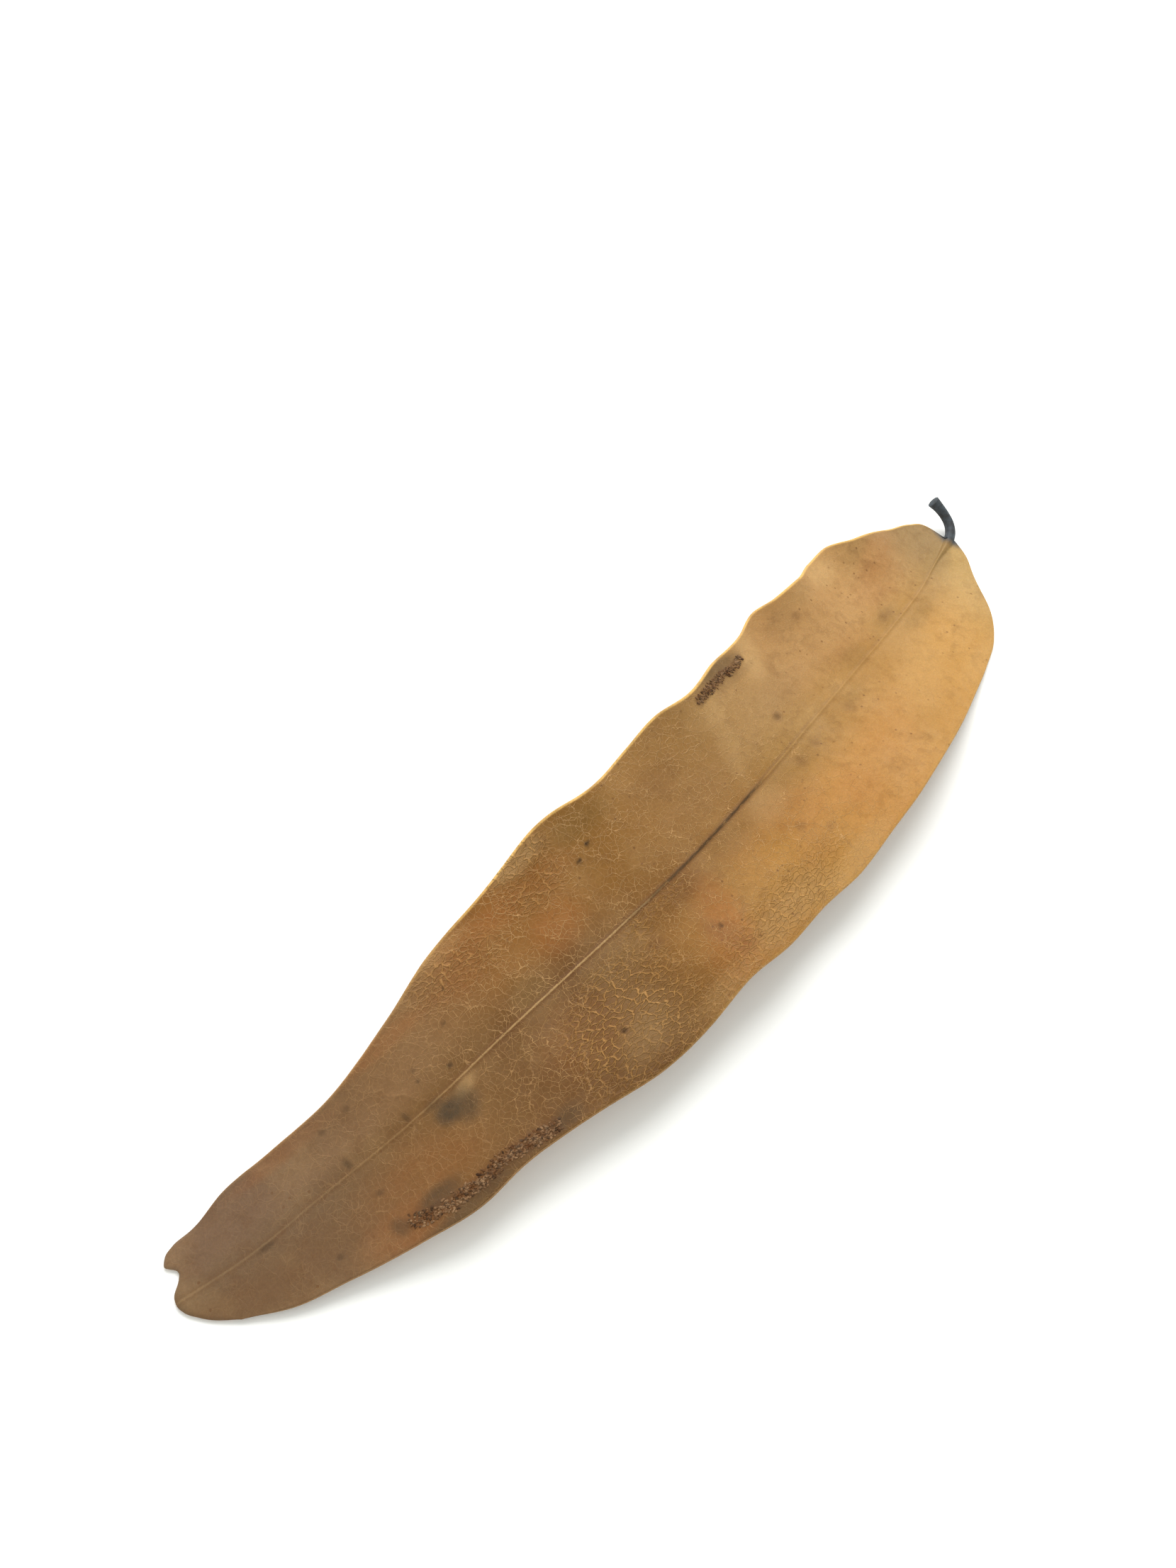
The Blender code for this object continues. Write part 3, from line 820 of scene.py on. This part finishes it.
class DriedSkin(Surface):
    """The leaf's finish, laid on in coats from the ground colour, which holds painted shade, to the margin's
    painted highlight.
    """

    def __init__(self, shape, colours):
        super().__init__("dried_skin")
        self.shape, self.colours = shape, colours
        self.along, self.off_rib = self.value("along"), self.math("ABSOLUTE", self.value("signed"))
        self.leaf_place = self.add("ShaderNodeUVMap", uv_map=MAP).outputs[0]
        for name, pattern in PATTERNS.items():
            setattr(self, name, self.noise(self.place, *pattern).outputs["Fac"])
        drawn_out = self.add("ShaderNodeMapping", {"Vector": self.leaf_place, "Scale": STREAKS}).outputs[0]
        self.streaks = self.noise(drawn_out, 1.0, 4.0, 0.7).outputs["Fac"]
        self.off_vein = from_side_vein(self, self.place)
        self.base = ground_and_shade_colour(self)

    def coat(self, share, colour):
        """Lays a colour over the coats before it, in this share."""
        self.base = self.blend(share, self.base, solid(colour))

    def lay_stains(self):
        self.coat(self.step(self.coarse, 0.42, 0.66, 0.0, 0.12), self.colours.pale)
        self.coat(self.step(self.middling, 0.48, 0.72, 0.0, 0.18), self.colours.umber)
        broken = self.math("MULTIPLY_ADD", self.middling, 0.9, 0.45)
        for kind, most in STAIN_SHARES:
            amount = self.math("MULTIPLY", self.value(kind), broken, clamp=True)
            self.coat(self.product(amount, most), getattr(self.colours, kind))
        shade = self.step(self.grain, 0.25, 0.75, 0.93, 1.07)
        grey = self.add("ShaderNodeCombineColor", {0: shade, 1: shade, 2: shade}).outputs[0]
        self.base = self.blend(1.0, self.base, grey, "MULTIPLY")

    def draw_net(self):
        """Small meshes, large ones and side veins, over pits of uneven depth and between the wrinkles."""
        small_meshes = 1 / self.shape.areole
        place = self.wander(self.place, *NET_WANDER)
        pit = self.cells(place, small_meshes, "F1").outputs["Color"]
        depth = self.step(self.coarse, 0.45, 0.65, 0.04, 0.14)
        self.coat(self.product(self.step(pit, 0.45, 0.8), depth), self.colours.umber)

        small, large = (
            self.cells(place, meshes, "DISTANCE_TO_EDGE").outputs["Distance"]
            for meshes in (small_meshes, LARGE_MESHES * small_meshes)
        )
        patchy = self.step(self.noise(self.place, *NET_PATCHES).outputs["Fac"], 0.38, 0.58, 0.4, 1.0)
        small = self.product(self.step(small, 0.015, 0.085, 1.0, 0.0), patchy, 0.7)
        large = self.step(large, 0.004, 0.026, 1.0, 0.0)
        side = self.product(self.step(self.off_vein, 0.004, 0.014, 1.0, 0.0), 0.7)
        self.lines = self.math("MAXIMUM", small, self.math("MAXIMUM", large, side))
        clearness = self.ramp(self.along, [(at, (grey,) * 3) for at, grey in NET_CLEARNESS])
        self.drawn = self.product(self.lines, self.step(self.worn, 0.34, 0.58, 0.4, 1.0), clearness)

        ridges = wrinkle_ridges(self, self.leaf_place, FINE_WRINKLES, 0.17)
        self.ridges = self.product(ridges, self.step(self.coarse, 0.35, 0.6, 0.3, 1.0))
        emboss = self.value("emboss")
        self.coat(self.product(emboss, 0.22), self.colours.umber)
        self.coat(self.product(self.drawn, self.step(emboss, 0.0, 1.0, 0.78, 0.34)), self.colours.vein)
        # Painted highlight along the wrinkle crests.
        self.coat(self.product(self.ridges, 0.6), self.colours.crest_highlight)

    def strew_specks(self):
        speck = self.cells(self.place, SPECKS, "F1")
        chosen = self.step(speck.outputs["Color"], 0.80, 0.84)
        dot = self.step(speck.outputs["Distance"], 0.10, 0.22, 1.0, 0.0)
        here = self.step(self.coarse, 0.42, 0.60, 0.1, 0.55)
        self.coat(self.product(dot, chosen, here), self.colours.umber)

    def mark_midrib(self):
        """A furrow darkened with painted shade, a pale bare stretch towards the tip and a sooty one in the
        middle.
        """
        step, product, along = self.step, self.product, self.along
        # Painted shade: the furrow on both sides of the midrib darkened with umber.
        furrow = product(step(self.off_rib, 0.12, 0.55, 1.0, 0.0), step(self.off_rib, 0.03, 0.16))
        run = product(step(along, 0.25, 0.50, 0.14, 0.46), step(along, 0.70, 0.90, 1.0, 0.4))
        self.coat(product(furrow, run), self.colours.umber)

        uneven = self.math("MULTIPLY_ADD", self.mould, 0.16, self.off_rib)
        bare = product(step(uneven, 0.10, 0.21, 1.0, 0.0), step(self.streaks, 0.25, 0.55, 0.35, 1.0))
        run = product(step(along, 0.50, 0.60, 0.08, 1.0), step(along, 0.68, 0.86, 1.0, 0.15))
        self.coat(product(bare, run, 0.75), self.colours.straw)

        sooty = product(step(self.off_rib, 0.03, 0.24, 1.0, 0.0), step(self.streaks, 0.30, 0.48))
        run = product(step(along, 0.40, 0.435), step(along, 0.52, 0.64, 1.0, 0.0))
        self.soot = self.math("MAXIMUM", self.value("soot"), product(sooty, run, 0.8))
        self.coat(self.soot, self.colours.soot)

    def lay_dead_tissue(self):
        uneven = self.math("MULTIPLY_ADD", self.mould, 0.6, 0.5)
        self.coat(self.math("MULTIPLY", self.value("grey"), uneven, clamp=True), self.colours.grey)

    def turn_over(self):
        """Gives the underside its own paler ground, with standing veins."""
        upper_side = self.base
        share = self.step(self.coarse, 0.35, 0.65, 0.05, 0.4)
        self.base = self.blend(share, solid(self.colours.underside), upper_side)
        self.coat(self.product(self.lines, 0.4), self.colours.vein)
        self.coat(self.product(self.step(self.off_rib, 0.45, 0.80, 1.0, 0.0), 0.15), self.colours.umber)
        side = self.product(self.step(self.off_vein, 0.010, 0.050, 1.0, 0.0), 0.7)
        standing = self.math("MAXIMUM", self.step(self.off_rib, 0.22, 0.50, 1.0, 0.0), side)
        self.coat(self.product(standing, 0.5), self.colours.rust)
        self.upper = self.step(self.value("upper"), 0.3, 0.7)
        self.base = self.blend(self.upper, self.base, upper_side)

    def paint_margin_highlight(self):
        """The thin margin, partly paler in itself and partly a painted highlight where it catches the light,
        strongest on the left and away from the tip.
        """
        rim = self.product(
            self.step(self.value("inset"), 0.0, 0.13, 1.0, 0.0),
            self.step(self.along, 0.60, 0.80, 0.85, 0.05),
            self.step(self.value("across"), -0.2, 0.2, 1.0, 0.15),
            self.step(self.middling, 0.3, 0.6, 0.45, 1.0),
        )
        self.coat(rim, self.colours.rim)

    def darken_stalk(self):
        sooty = self.step(self.middling, 0.4, 0.7, 0.0, 0.7)
        stalk = self.blend(sooty, solid(self.colours.stalk), solid(self.colours.soot))
        self.base = self.blend(self.value("stalk"), self.base, stalk)

    def relief(self):
        height = self.math("MULTIPLY_ADD", self.ridges, 5.5, self.product(self.drawn, 1.7))
        crumbled = self.product(self.value("crust"), self.mould)
        for pattern, share in ((self.grain, 0.35), (self.middling, 1.1), (crumbled, 2.5)):
            height = self.math("MULTIPLY_ADD", pattern, share, height)
        return self.add("ShaderNodeBump", {**BUMP, "Height": height}).outputs[0]

    def sheen(self):
        roughness = self.step(self.middling, 0.3, 0.7, 0.44, 0.60)
        roughness = self.math("MULTIPLY_ADD", self.soot, 0.25, roughness)
        return self.math("ADD", roughness, self.step(self.upper, 0.0, 1.0, 0.16, 0.0))


def skin_material(shape, colours):
    skin = DriedSkin(shape, colours)
    skin.lay_stains()
    skin.draw_net()
    skin.strew_specks()
    skin.coat(skin.product(skin.value("crust"), 0.6), colours.umber)
    skin.mark_midrib()
    skin.lay_dead_tissue()
    skin.turn_over()
    skin.paint_margin_highlight()
    skin.darken_stalk()
    return skin.finish(
        Base_Color=skin.base, Roughness=skin.sheen(), Normal=skin.relief(),
        Subsurface_Weight=0.08, Subsurface_Radius=(1.0, 0.45, 0.15), Subsurface_Scale=0.0005,
        Specular_IOR_Level=0.14,
    )


def crumb_material(colours):
    surface = Surface("crumbled_tissue")
    patch = surface.noise(surface.place, 1500.0, 3.0, 0.6).outputs["Fac"]
    tint = surface.blend(surface.step(patch, 0.35, 0.65), solid(colours.umber), solid(colours.crumb))
    sooty = surface.step(surface.value("dark"), 0.35, 1.0, 0.0, 0.7)
    fine = surface.noise(surface.place, 9000.0, 2.0).outputs["Fac"]
    bump = surface.add("ShaderNodeBump", {"Strength": 0.8, "Distance": 0.00004, "Height": fine})
    return surface.finish(
        Base_Color=surface.blend(sooty, tint, solid(colours.soot)), Roughness=0.7,
        Normal=bump.outputs[0], Specular_IOR_Level=0.15,
    )


def table_material(studio):
    surface = Surface("pale_table")
    cloud = surface.noise(surface.place, 40.0, 2.0).outputs["Fac"]
    tint = surface.blend(surface.product(cloud, 0.02), solid(studio.floor), solid((0.8, 0.8, 0.8)))
    return surface.finish(Base_Color=tint, Roughness=0.85, Specular_IOR_Level=0.1)


# ---------------------------------------------------------------------------------------------------
# The skin
# ---------------------------------------------------------------------------------------------------


# The blade's uneven drying: (waves to a metre, share of the cockle)
SLOW_WAVES, QUICK_WAVES = (130.0, 2.0), (420.0, 0.5)
# How far veins stand out on the upper side, as a share of their height underneath.
VEINS_ABOVE = 0.25
RAISED_NET_WANDER = (900.0, 0.0006)


def vein_relief_tree():
    """Raises side veins and net, puckers the wrinkled patches and lets the whole blade dry unevenly."""
    tree = Growth("vein_relief")
    vein_height = tree.named("Side vein height")
    net_height = tree.named("Net height")
    mesh_size = tree.named("Mesh size")
    cockle = tree.named("Cockle")
    wrinkle = tree.named("Wrinkles")
    math, step, product = tree.math, tree.step, tree.product
    place = tree.add("GeometryNodeInputPosition").outputs[0]
    upper, signed = step(tree.value("upper"), 0.3, 0.7), tree.value("signed")
    off_rib = math("ABSOLUTE", signed)

    side = step(from_side_vein(tree, place), 0.0, 0.065, 1.0, 0.0)
    side = product(side, step(off_rib, 0.3, 1.2), vein_height)
    moved = tree.wander(place, *RAISED_NET_WANDER)
    meshes = tree.cells(moved, math("DIVIDE", LARGE_MESHES, mesh_size), "DISTANCE_TO_EDGE")
    net = product(step(meshes.outputs["Distance"], 0.0, 0.16, 1.0, 0.0), net_height)
    in_blade = step(tree.value("inset"), 0.0, 0.6)
    veins = product(math("ADD", side, net), step(upper, 0.0, 1.0, 1.0, VEINS_ABOVE), in_blade)

    leaf_place = tree.add("ShaderNodeCombineXYZ", {"X": tree.value("place"), "Y": signed}).outputs[0]
    folds = product(wrinkle_ridges(tree, leaf_place, COARSE_WRINKLES, 0.42), wrinkle)
    folds = product(folds, math("MULTIPLY_ADD", upper, 2.0, -1.0))
    off_stalk = step(tree.value("stalk"), 0.0, 1.0, 1.0, 0.0)
    raised = product(math("ADD", veins, folds), off_stalk)
    normal = tree.add("GeometryNodeInputNormal").outputs[0]
    outwards = tree.add("ShaderNodeVectorMath", {0: normal, "Scale": raised}, operation="SCALE").outputs[0]

    slow, quick = (
        product(math("SUBTRACT", tree.noise(place, waves).outputs["Fac"], 0.5), share)
        for waves, share in (SLOW_WAVES, QUICK_WAVES)
    )
    sway = product(math("ADD", slow, quick), cockle, step(off_rib, 0.4, 3.0))
    lift = tree.add("ShaderNodeCombineXYZ", {"Z": sway}).outputs[0]
    offset = tree.add("ShaderNodeVectorMath", {0: outwards, 1: lift}, operation="ADD").outputs[0]
    moved = tree.add("GeometryNodeSetPosition", {"Geometry": tree.entry.outputs[0], "Offset": offset})
    smooth = tree.add("GeometryNodeSetShadeSmooth", {"Geometry": moved.outputs[0], "Shade Smooth": True})
    tree.close(smooth.outputs[0])
    return tree


def skin_values(knows):
    """The numbers that the finish and the veins read at each point of the skin."""
    along, across = knows["along"], knows["across"]
    left, right = half_widths(along)
    inset = (1 - np.abs(across)) * np.where(across < 0, left, right)
    tip_inset = (1 - along) * BLADE_LENGTH
    blade = 1 - knows["stalk"]
    values = {
        "along": along, "across": across, "upper": knows["upper"], "stalk": knows["stalk"],
        "signed": knows["signed"], "place": knows["place"], "inset": np.minimum(inset, tip_inset),
        "phase": vein_phase(along, across), "crust": crust_cover(along, across) * blade,
    }
    for kind, marks in MARKS.items():
        values[kind] = stain(marks, along, across) * blade
    return values


# The bake's map: the gap round each half, and how much of the map's height one side of the leaf fills.
BAKE_GAP = 0.01
BAKE_HALF = 0.5


def lay_out(mesh, knows):
    """Two flat maps: leaf_map in mm along and across, and one with the two sides apart, for baked colour."""
    own = mesh.uv_layers.new(name=MAP)
    baked = mesh.uv_layers.new(name="OFBake")
    corner = np.empty(len(mesh.loops), np.int32)
    mesh.loops.foreach_get("vertex_index", corner)
    points = np.empty(len(mesh.vertices) * 3)
    mesh.vertices.foreach_get("co", points)
    points = points.reshape(-1, 3)
    low, high = points.min(axis=0), points.max(axis=0)
    flat = (points - low) / (high - low)
    under = knows["upper"].ravel() < 0.5
    spread = np.stack([
        BAKE_GAP + (1 - 2 * BAKE_GAP) * flat[:, 0],
        BAKE_GAP + (BAKE_HALF - 3 * BAKE_GAP) * flat[:, 1] + BAKE_HALF * under,
    ], axis=-1)
    mm = np.stack([knows["place"].ravel(), knows["signed"].ravel()], axis=-1)
    own.data.foreach_set("uv", mm[corner].astype(np.float32).ravel())
    baked.data.foreach_set("uv", spread[corner].astype(np.float32).ravel())
    mesh.uv_layers.active = own


class DRIED_LEAF_OT_grow_skin(bpy.types.Operator):
    """Grow the leaf's skin, from the cut end of the stalk to the bitten tip"""

    bl_idname = "dried_leaf.grow_skin"
    bl_label = "Grow Skin"
    bl_options = {"REGISTER", "UNDO"}

    def execute(self, context):
        shape, finish = context.scene.dried_leaf_shape, context.scene.dried_leaf_finish
        rings, knows, columns, edges = sections(shape)
        rows, places = rings.shape[:2]
        points = to_frame(rings.reshape(-1, 3), shape)
        mesh = mesh_of("dried_leaf", points, ring_faces(rows, places, columns, edges), skin_values(knows))
        lay_out(mesh, knows)
        skin = vein_relief_tree().grow(add_object("dried_leaf", mesh), {
            "Side vein height": shape.vein_height, "Net height": shape.net_height,
            "Mesh size": shape.areole, "Cockle": shape.cockle, "Wrinkles": shape.wrinkle,
            "Finish": skin_material(shape, finish),
        })
        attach(skin, BODY)
        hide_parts(NODE)
        return {"FINISHED"}


# ---------------------------------------------------------------------------------------------------
# The crusts
# ---------------------------------------------------------------------------------------------------


# How thick the crust is where the crumbs begin, from 0 to 1.
CRUMBS_FROM = 0.02
# Sizes of the slightest and of the stoutest crumb, as shares of a middling one's radius.
SLIGHTEST_CRUMB, STOUTEST_CRUMB = (0.6, 0.9, 0.35), (1.3, 2.1, 0.8)
# Largest turn of a crumb about each of its axes, in radians.
CRUMB_SPIN = (0.4, 0.4, 0.9)
# Lumps on a crumb: how many to a metre, and their depth as a share of its radius.
LUMPS, LUMP_SHARE = 8000.0, 1.8


def crumb_tree():
    """Strews small uneven crumbs over the patches it is given, closest where the crust is thickest."""
    tree = Growth("crumbs")
    size = tree.named("Crumb size")
    density = tree.named("Crumbs per square metre")
    seed = tree.named("Seed", "Int")
    math = tree.math
    thick = math("POWER", tree.value("crust"), 2.0)
    strewn = tree.add("GeometryNodeDistributePointsOnFaces", {
        "Mesh": tree.entry.outputs[0], "Density": math("MULTIPLY", thick, density), "Seed": seed,
    })
    crumb = tree.add("GeometryNodeMeshIcoSphere", {"Radius": 1.0, "Subdivisions": 2})
    spin = tree.add("FunctionNodeRandomValue", {
        0: tuple(-angle for angle in CRUMB_SPIN), 1: CRUMB_SPIN, "Seed": seed,
    }, data_type="FLOAT_VECTOR")
    turned = tree.add("FunctionNodeRotateRotation", {
        "Rotation": strewn.outputs["Rotation"], "Rotate By": spin.outputs[0],
    }, rotation_space="LOCAL")
    girth = tree.add("FunctionNodeRandomValue", {
        0: SLIGHTEST_CRUMB, 1: STOUTEST_CRUMB, "Seed": seed,
    }, data_type="FLOAT_VECTOR")
    scale = tree.add("ShaderNodeVectorMath", {0: girth.outputs[0], "Scale": size}, operation="SCALE")
    placed = tree.add("GeometryNodeInstanceOnPoints", {
        "Points": strewn.outputs["Points"], "Instance": crumb.outputs["Mesh"],
        "Rotation": turned.outputs[0], "Scale": scale.outputs[0],
    })
    tint = tree.add("FunctionNodeRandomValue", {2: 0.0, 3: 1.0, "Seed": seed}, data_type="FLOAT")
    marked = tree.add("GeometryNodeStoreNamedAttribute", {
        "Geometry": placed.outputs[0], "Name": "dark", "Value": tint.outputs[1],
    }, data_type="FLOAT", domain="INSTANCE")
    real = tree.add("GeometryNodeRealizeInstances", {"Geometry": marked.outputs[0]})
    place = tree.add("GeometryNodeInputPosition").outputs[0]
    lump = math("SUBTRACT", tree.noise(place, LUMPS).outputs["Fac"], 0.5)
    uneven = math("MULTIPLY", lump, math("MULTIPLY", size, LUMP_SHARE))
    normal = tree.add("GeometryNodeInputNormal").outputs[0]
    push = tree.add("ShaderNodeVectorMath", {0: normal, "Scale": uneven}, operation="SCALE").outputs[0]
    rough = tree.add("GeometryNodeSetPosition", {"Geometry": real.outputs[0], "Offset": push})
    smooth = tree.add("GeometryNodeSetShadeSmooth", {"Geometry": rough.outputs[0], "Shade Smooth": True})
    tree.close(smooth.outputs[0])
    return tree


def crust_patch():
    """The part of the skin's upper side that the crusts cover, as a mesh of its own."""
    skin = bpy.data.objects["dried_leaf"].data
    covered = np.empty(len(skin.vertices), np.float32)
    skin.attributes["crust"].data.foreach_get("value", covered)
    upper = np.empty(len(skin.vertices), np.float32)
    skin.attributes["upper"].data.foreach_get("value", upper)
    wanted = (covered > CRUMBS_FROM) & (upper > 0.9)
    faces = [f.vertices[:] for f in skin.polygons if all(wanted[v] for v in f.vertices)]
    used = sorted({v for face in faces for v in face})
    place = {v: i for i, v in enumerate(used)}
    points = [skin.vertices[v].co[:] for v in used]
    return mesh_of(
        "crumbs", points, [[place[v] for v in face] for face in faces], {"crust": covered[used]}
    )


class DRIED_LEAF_OT_strew_crumbs(bpy.types.Operator):
    """Strew crumbs of dead tissue along the crusty strips"""

    bl_idname = "dried_leaf.strew_crumbs"
    bl_label = "Strew Crumbs"
    bl_options = {"REGISTER", "UNDO"}

    def execute(self, context):
        settings, finish = context.scene.dried_leaf_crusts, context.scene.dried_leaf_finish
        crumbs = crumb_tree().grow(add_object("crumbs", crust_patch()), {
            "Crumb size": settings.crumb, "Crumbs per square metre": settings.density,
            "Seed": settings.seed, "Finish": crumb_material(finish),
        })
        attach(crumbs, BODY)
        return {"FINISHED"}


# ---------------------------------------------------------------------------------------------------
# The stage
# ---------------------------------------------------------------------------------------------------

# The camera's place in leaf mm, and the view's angles in degrees.
CAMERA_PLACE = (113.18, 43.93, 101.61)
CAMERA_AZIMUTH, CAMERA_ELEVATION = 131.12, 52.0
SENSOR_HEIGHT = 36.0
TABLE_HALF = 3.0
# Each light: its place from the middle of the leaf, its size, both in metres, and its colour.
LIGHTS = {
    "window": ((-0.30, -0.24, 0.42), 0.55, (1.0, 0.99, 0.97)),
    "fill": ((0.30, 0.34, 0.40), 0.60, (0.97, 1.0, 0.98)),
}
SKY_COLOUR = (0.97, 1.0, 0.95)


def looking(azimuth, elevation):
    """A camera's rotation for a view from this azimuth and elevation, in degrees, held level."""
    a, e = np.radians(azimuth), np.radians(elevation)
    back = Vector((np.sin(a) * np.cos(e), -np.cos(a) * np.cos(e), np.sin(e)))
    right = Vector((np.cos(a), np.sin(a), 0.0))
    return Matrix((right, back.cross(right), back)).transposed()


def add_light(name, middle, power):
    away, size, tint = LIGHTS[name]
    data = bpy.data.lights.new(name, "AREA")
    data.shape, data.size, data.energy, data.color = "DISK", size, power, tint
    light = add_object(name, data)
    light.location = middle + Vector(away)
    light.rotation_euler = Vector(away).to_track_quat("Z", "Y").to_euler()


def add_sky(scene, strength):
    world = bpy.data.worlds.new("soft_sky")
    world.use_nodes = True
    sky = world.node_tree.nodes["Background"].inputs
    sky["Color"].default_value = solid(SKY_COLOUR)
    sky["Strength"].default_value = strength
    scene.world = world


def add_camera(scene, lens):
    data = bpy.data.cameras.new("camera")
    data.sensor_fit, data.sensor_height, data.lens = "VERTICAL", SENSOR_HEIGHT, lens
    data.clip_start, data.clip_end = 0.001, 20.0
    camera = add_object("camera", data)
    camera.location = to_frame(CAMERA_PLACE, scene.dried_leaf_shape)
    camera.rotation_euler = looking(CAMERA_AZIMUTH, CAMERA_ELEVATION).to_euler()
    scene.camera = camera


class DRIED_LEAF_OT_set_stage(bpy.types.Operator):
    """Set the pale table, the soft light and the camera"""

    bl_idname = "dried_leaf.set_stage"
    bl_label = "Set Stage"
    bl_options = {"REGISTER", "UNDO"}

    def execute(self, context):
        scene = context.scene
        studio = scene.dried_leaf_studio
        corners = [(x * TABLE_HALF, y * TABLE_HALF, 0) for x, y in ((-1, -1), (1, -1), (1, 1), (-1, 1))]
        table = mesh_of("table", corners, [[0, 1, 2, 3]])
        table.materials.append(table_material(studio))
        add_object("table", table)
        middle = (leaf_low + leaf_high) / 2
        add_light("window", middle, studio.window)
        add_light("fill", middle, studio.fill)
        add_sky(scene, studio.sky)
        add_camera(scene, studio.lens)
        scene.view_settings.view_transform = "Standard"
        return {"FINISHED"}


# ---------------------------------------------------------------------------------------------------
# Panel and registration
# ---------------------------------------------------------------------------------------------------


class DRIED_LEAF_PT_panel(bpy.types.Panel):
    bl_idname = "DRIED_LEAF_PT_panel"
    bl_label = "Dried Leaf"
    bl_space_type = "VIEW_3D"
    bl_region_type = "UI"
    bl_category = "Dried Leaf"

    def draw(self, context):
        layout = self.layout
        for operator in OPERATORS:
            layout.operator(operator.bl_idname)
        for name, group in SETTINGS.items():
            box = layout.box()
            box.label(text=group.__doc__)
            for key in group.__annotations__:
                box.prop(getattr(context.scene, name), key)


SETTINGS = {
    "dried_leaf_shape": DriedLeafShape,
    "dried_leaf_crusts": DriedLeafCrusts,
    "dried_leaf_finish": DriedLeafFinish,
    "dried_leaf_studio": DriedLeafStudio,
}
OPERATORS = (DRIED_LEAF_OT_grow_skin, DRIED_LEAF_OT_strew_crumbs, DRIED_LEAF_OT_set_stage)


def register():
    for item in (*SETTINGS.values(), *OPERATORS, DRIED_LEAF_PT_panel):
        bpy.utils.register_class(item)
    for name, group in SETTINGS.items():
        setattr(bpy.types.Scene, name, PointerProperty(type=group))


def unregister():
    for name in SETTINGS:
        delattr(bpy.types.Scene, name)
    for item in (DRIED_LEAF_PT_panel, *reversed(OPERATORS), *SETTINGS.values()):
        bpy.utils.unregister_class(item)


def main():
    register()
    bpy.ops.dried_leaf.grow_skin()
    bpy.ops.dried_leaf.strew_crumbs()
    bpy.ops.dried_leaf.set_stage()


if __name__ == "__main__":
    main()
